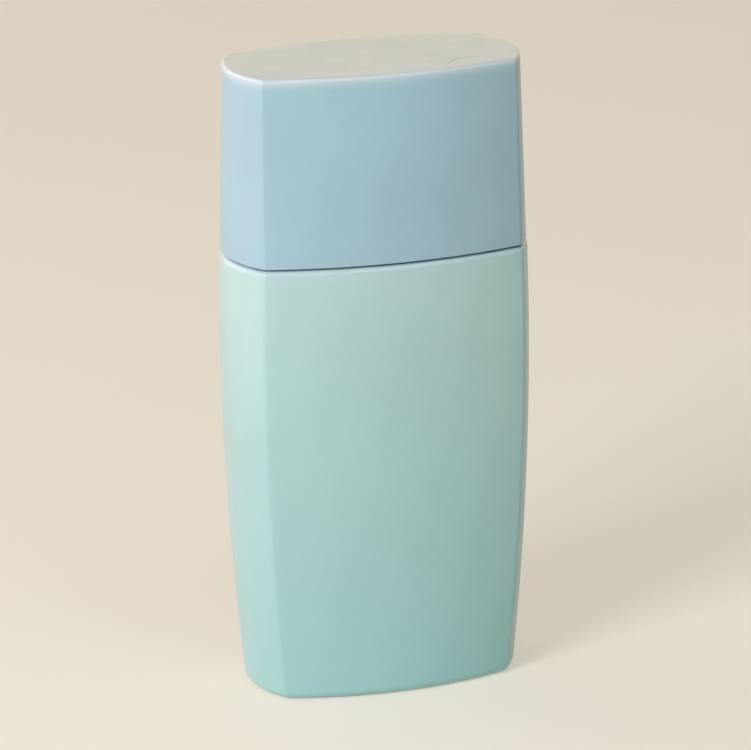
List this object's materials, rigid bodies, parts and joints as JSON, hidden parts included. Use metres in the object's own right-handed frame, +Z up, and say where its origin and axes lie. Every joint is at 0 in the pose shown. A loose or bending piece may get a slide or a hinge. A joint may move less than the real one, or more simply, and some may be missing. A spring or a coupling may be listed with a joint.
{
  "type": "sunscreen bottle",
  "caption": "Flat bottle with bowed faces and a flush pull-off cap over a small press-down lotion pump with a dip tube.",
  "frame": {"origin": "centre of the base, on the surface that the bottle stands on", "axes": "+Z up through the neck and cap, +X across the width, the front and the spout face -Y"},
  "size_m": [0.0466, 0.0264, 0.0956],
  "materials": {
    "body_plastic": "smooth satin gloss, pale mint",
    "cap_plastic": "smooth satin gloss, powder blue",
    "liner_plastic": "moulded, pale blue white",
    "white_plastic": "gloss white",
    "pump_plastic": "natural, milky",
    "piston_plastic": "soft, waxy",
    "gasket_foam": "fine closed-cell foam",
    "spring_steel": "drawn wire",
    "ball_steel": "polished",
    "tube_plastic": "translucent, milky"
  },
  "bodies": {
    "bottle": {"bottle": "body_plastic", "collar": "white_plastic", "neck_gasket": "gasket_foam", "pump_housing": "pump_plastic", "retainer": "pump_plastic", "return_spring": "spring_steel", "dip_tube": "tube_plastic"},
    "cap": {"overcap": "cap_plastic", "cap_liner": "liner_plastic"},
    "plunger": {"piston": "piston_plastic"},
    "head": {"pump_head": "white_plastic", "stem": "pump_plastic", "piston_core": "pump_plastic"},
    "ball": {"inlet_ball": "ball_steel"}
  },
  "joints": [
    {"name": "cap_pull", "type": "slide", "parent": "bottle", "child": "cap", "axis": [0, 0, 1], "range_m": [0, 0.04]},
    {"name": "pump_press", "type": "slide", "parent": "bottle", "child": "plunger", "axis": [0, 0, -1], "range_m": [0, 0.0032], "stiffness_N_per_m": 1200, "deforming": ["return_spring"]},
    {"name": "head_turn", "type": "hinge", "parent": "plunger", "child": "head", "pos_m": [0, 0, 0.0842], "axis": [0, 0, 1], "continuous": true},
    {"name": "ball_lift", "type": "slide", "parent": "bottle", "child": "ball", "axis": [0, 0, 1], "range_m": [0, 0.001]}
  ]
}
